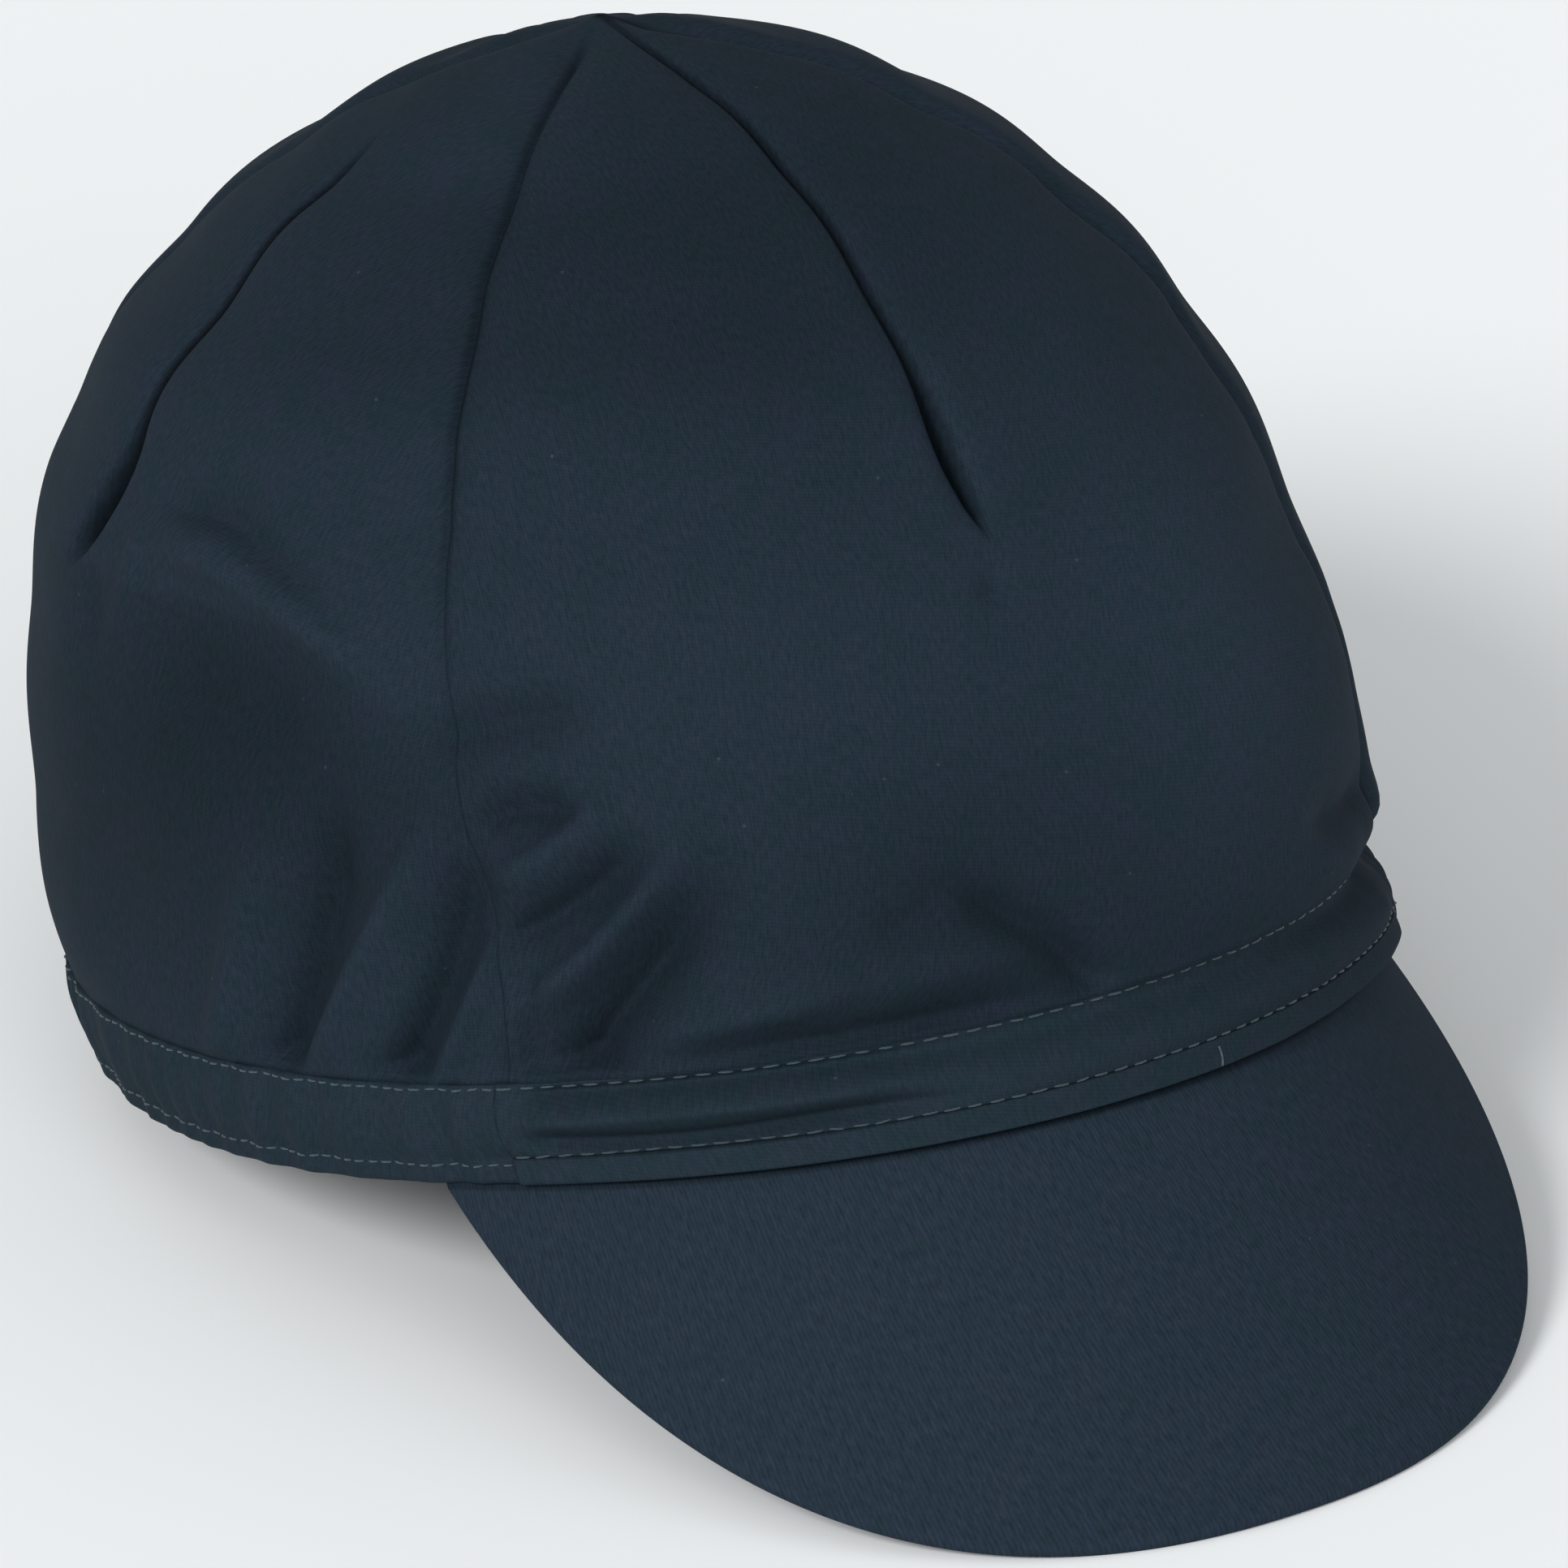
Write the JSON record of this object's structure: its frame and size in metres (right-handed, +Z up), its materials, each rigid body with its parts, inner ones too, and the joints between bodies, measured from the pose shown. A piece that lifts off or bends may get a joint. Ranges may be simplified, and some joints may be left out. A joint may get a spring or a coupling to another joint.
{
  "type": "cycling cap",
  "caption": "Soft cloth cycling cap: darted dome crown sewn from gores, stitched band gathered by elastic at the rear, and a short cloth-covered peak turned down.",
  "frame": {"origin": "under the middle of the whole cap's box, on the surface that it rests on with its rear hem and the edge of its peak", "axes": "+Z up; the cap faces -Y with its peak, the wearer's right is -X and the wearer's left is +X; the head opening is tilted up towards the front by the rest pitch"},
  "size_m": [0.1662, 0.2408, 0.1415],
  "materials": {
    "crown_cloth": "matt woven cloth, dark navy",
    "band_cloth": "matt woven cloth, dark navy",
    "peak_cloth": "matt fine twill, dark navy",
    "stitch_thread": "sewing thread, grey blue"
  },
  "bodies": {
    "root": {"crown_panel_front": "crown_cloth", "crown_panel_right": "crown_cloth", "crown_panel_rear": "crown_cloth", "crown_panel_left": "crown_cloth", "band_front": "band_cloth", "band_rear_elastic": "band_cloth", "hem_fold_front": "band_cloth", "peak": "peak_cloth"}
  },
  "joints": []
}
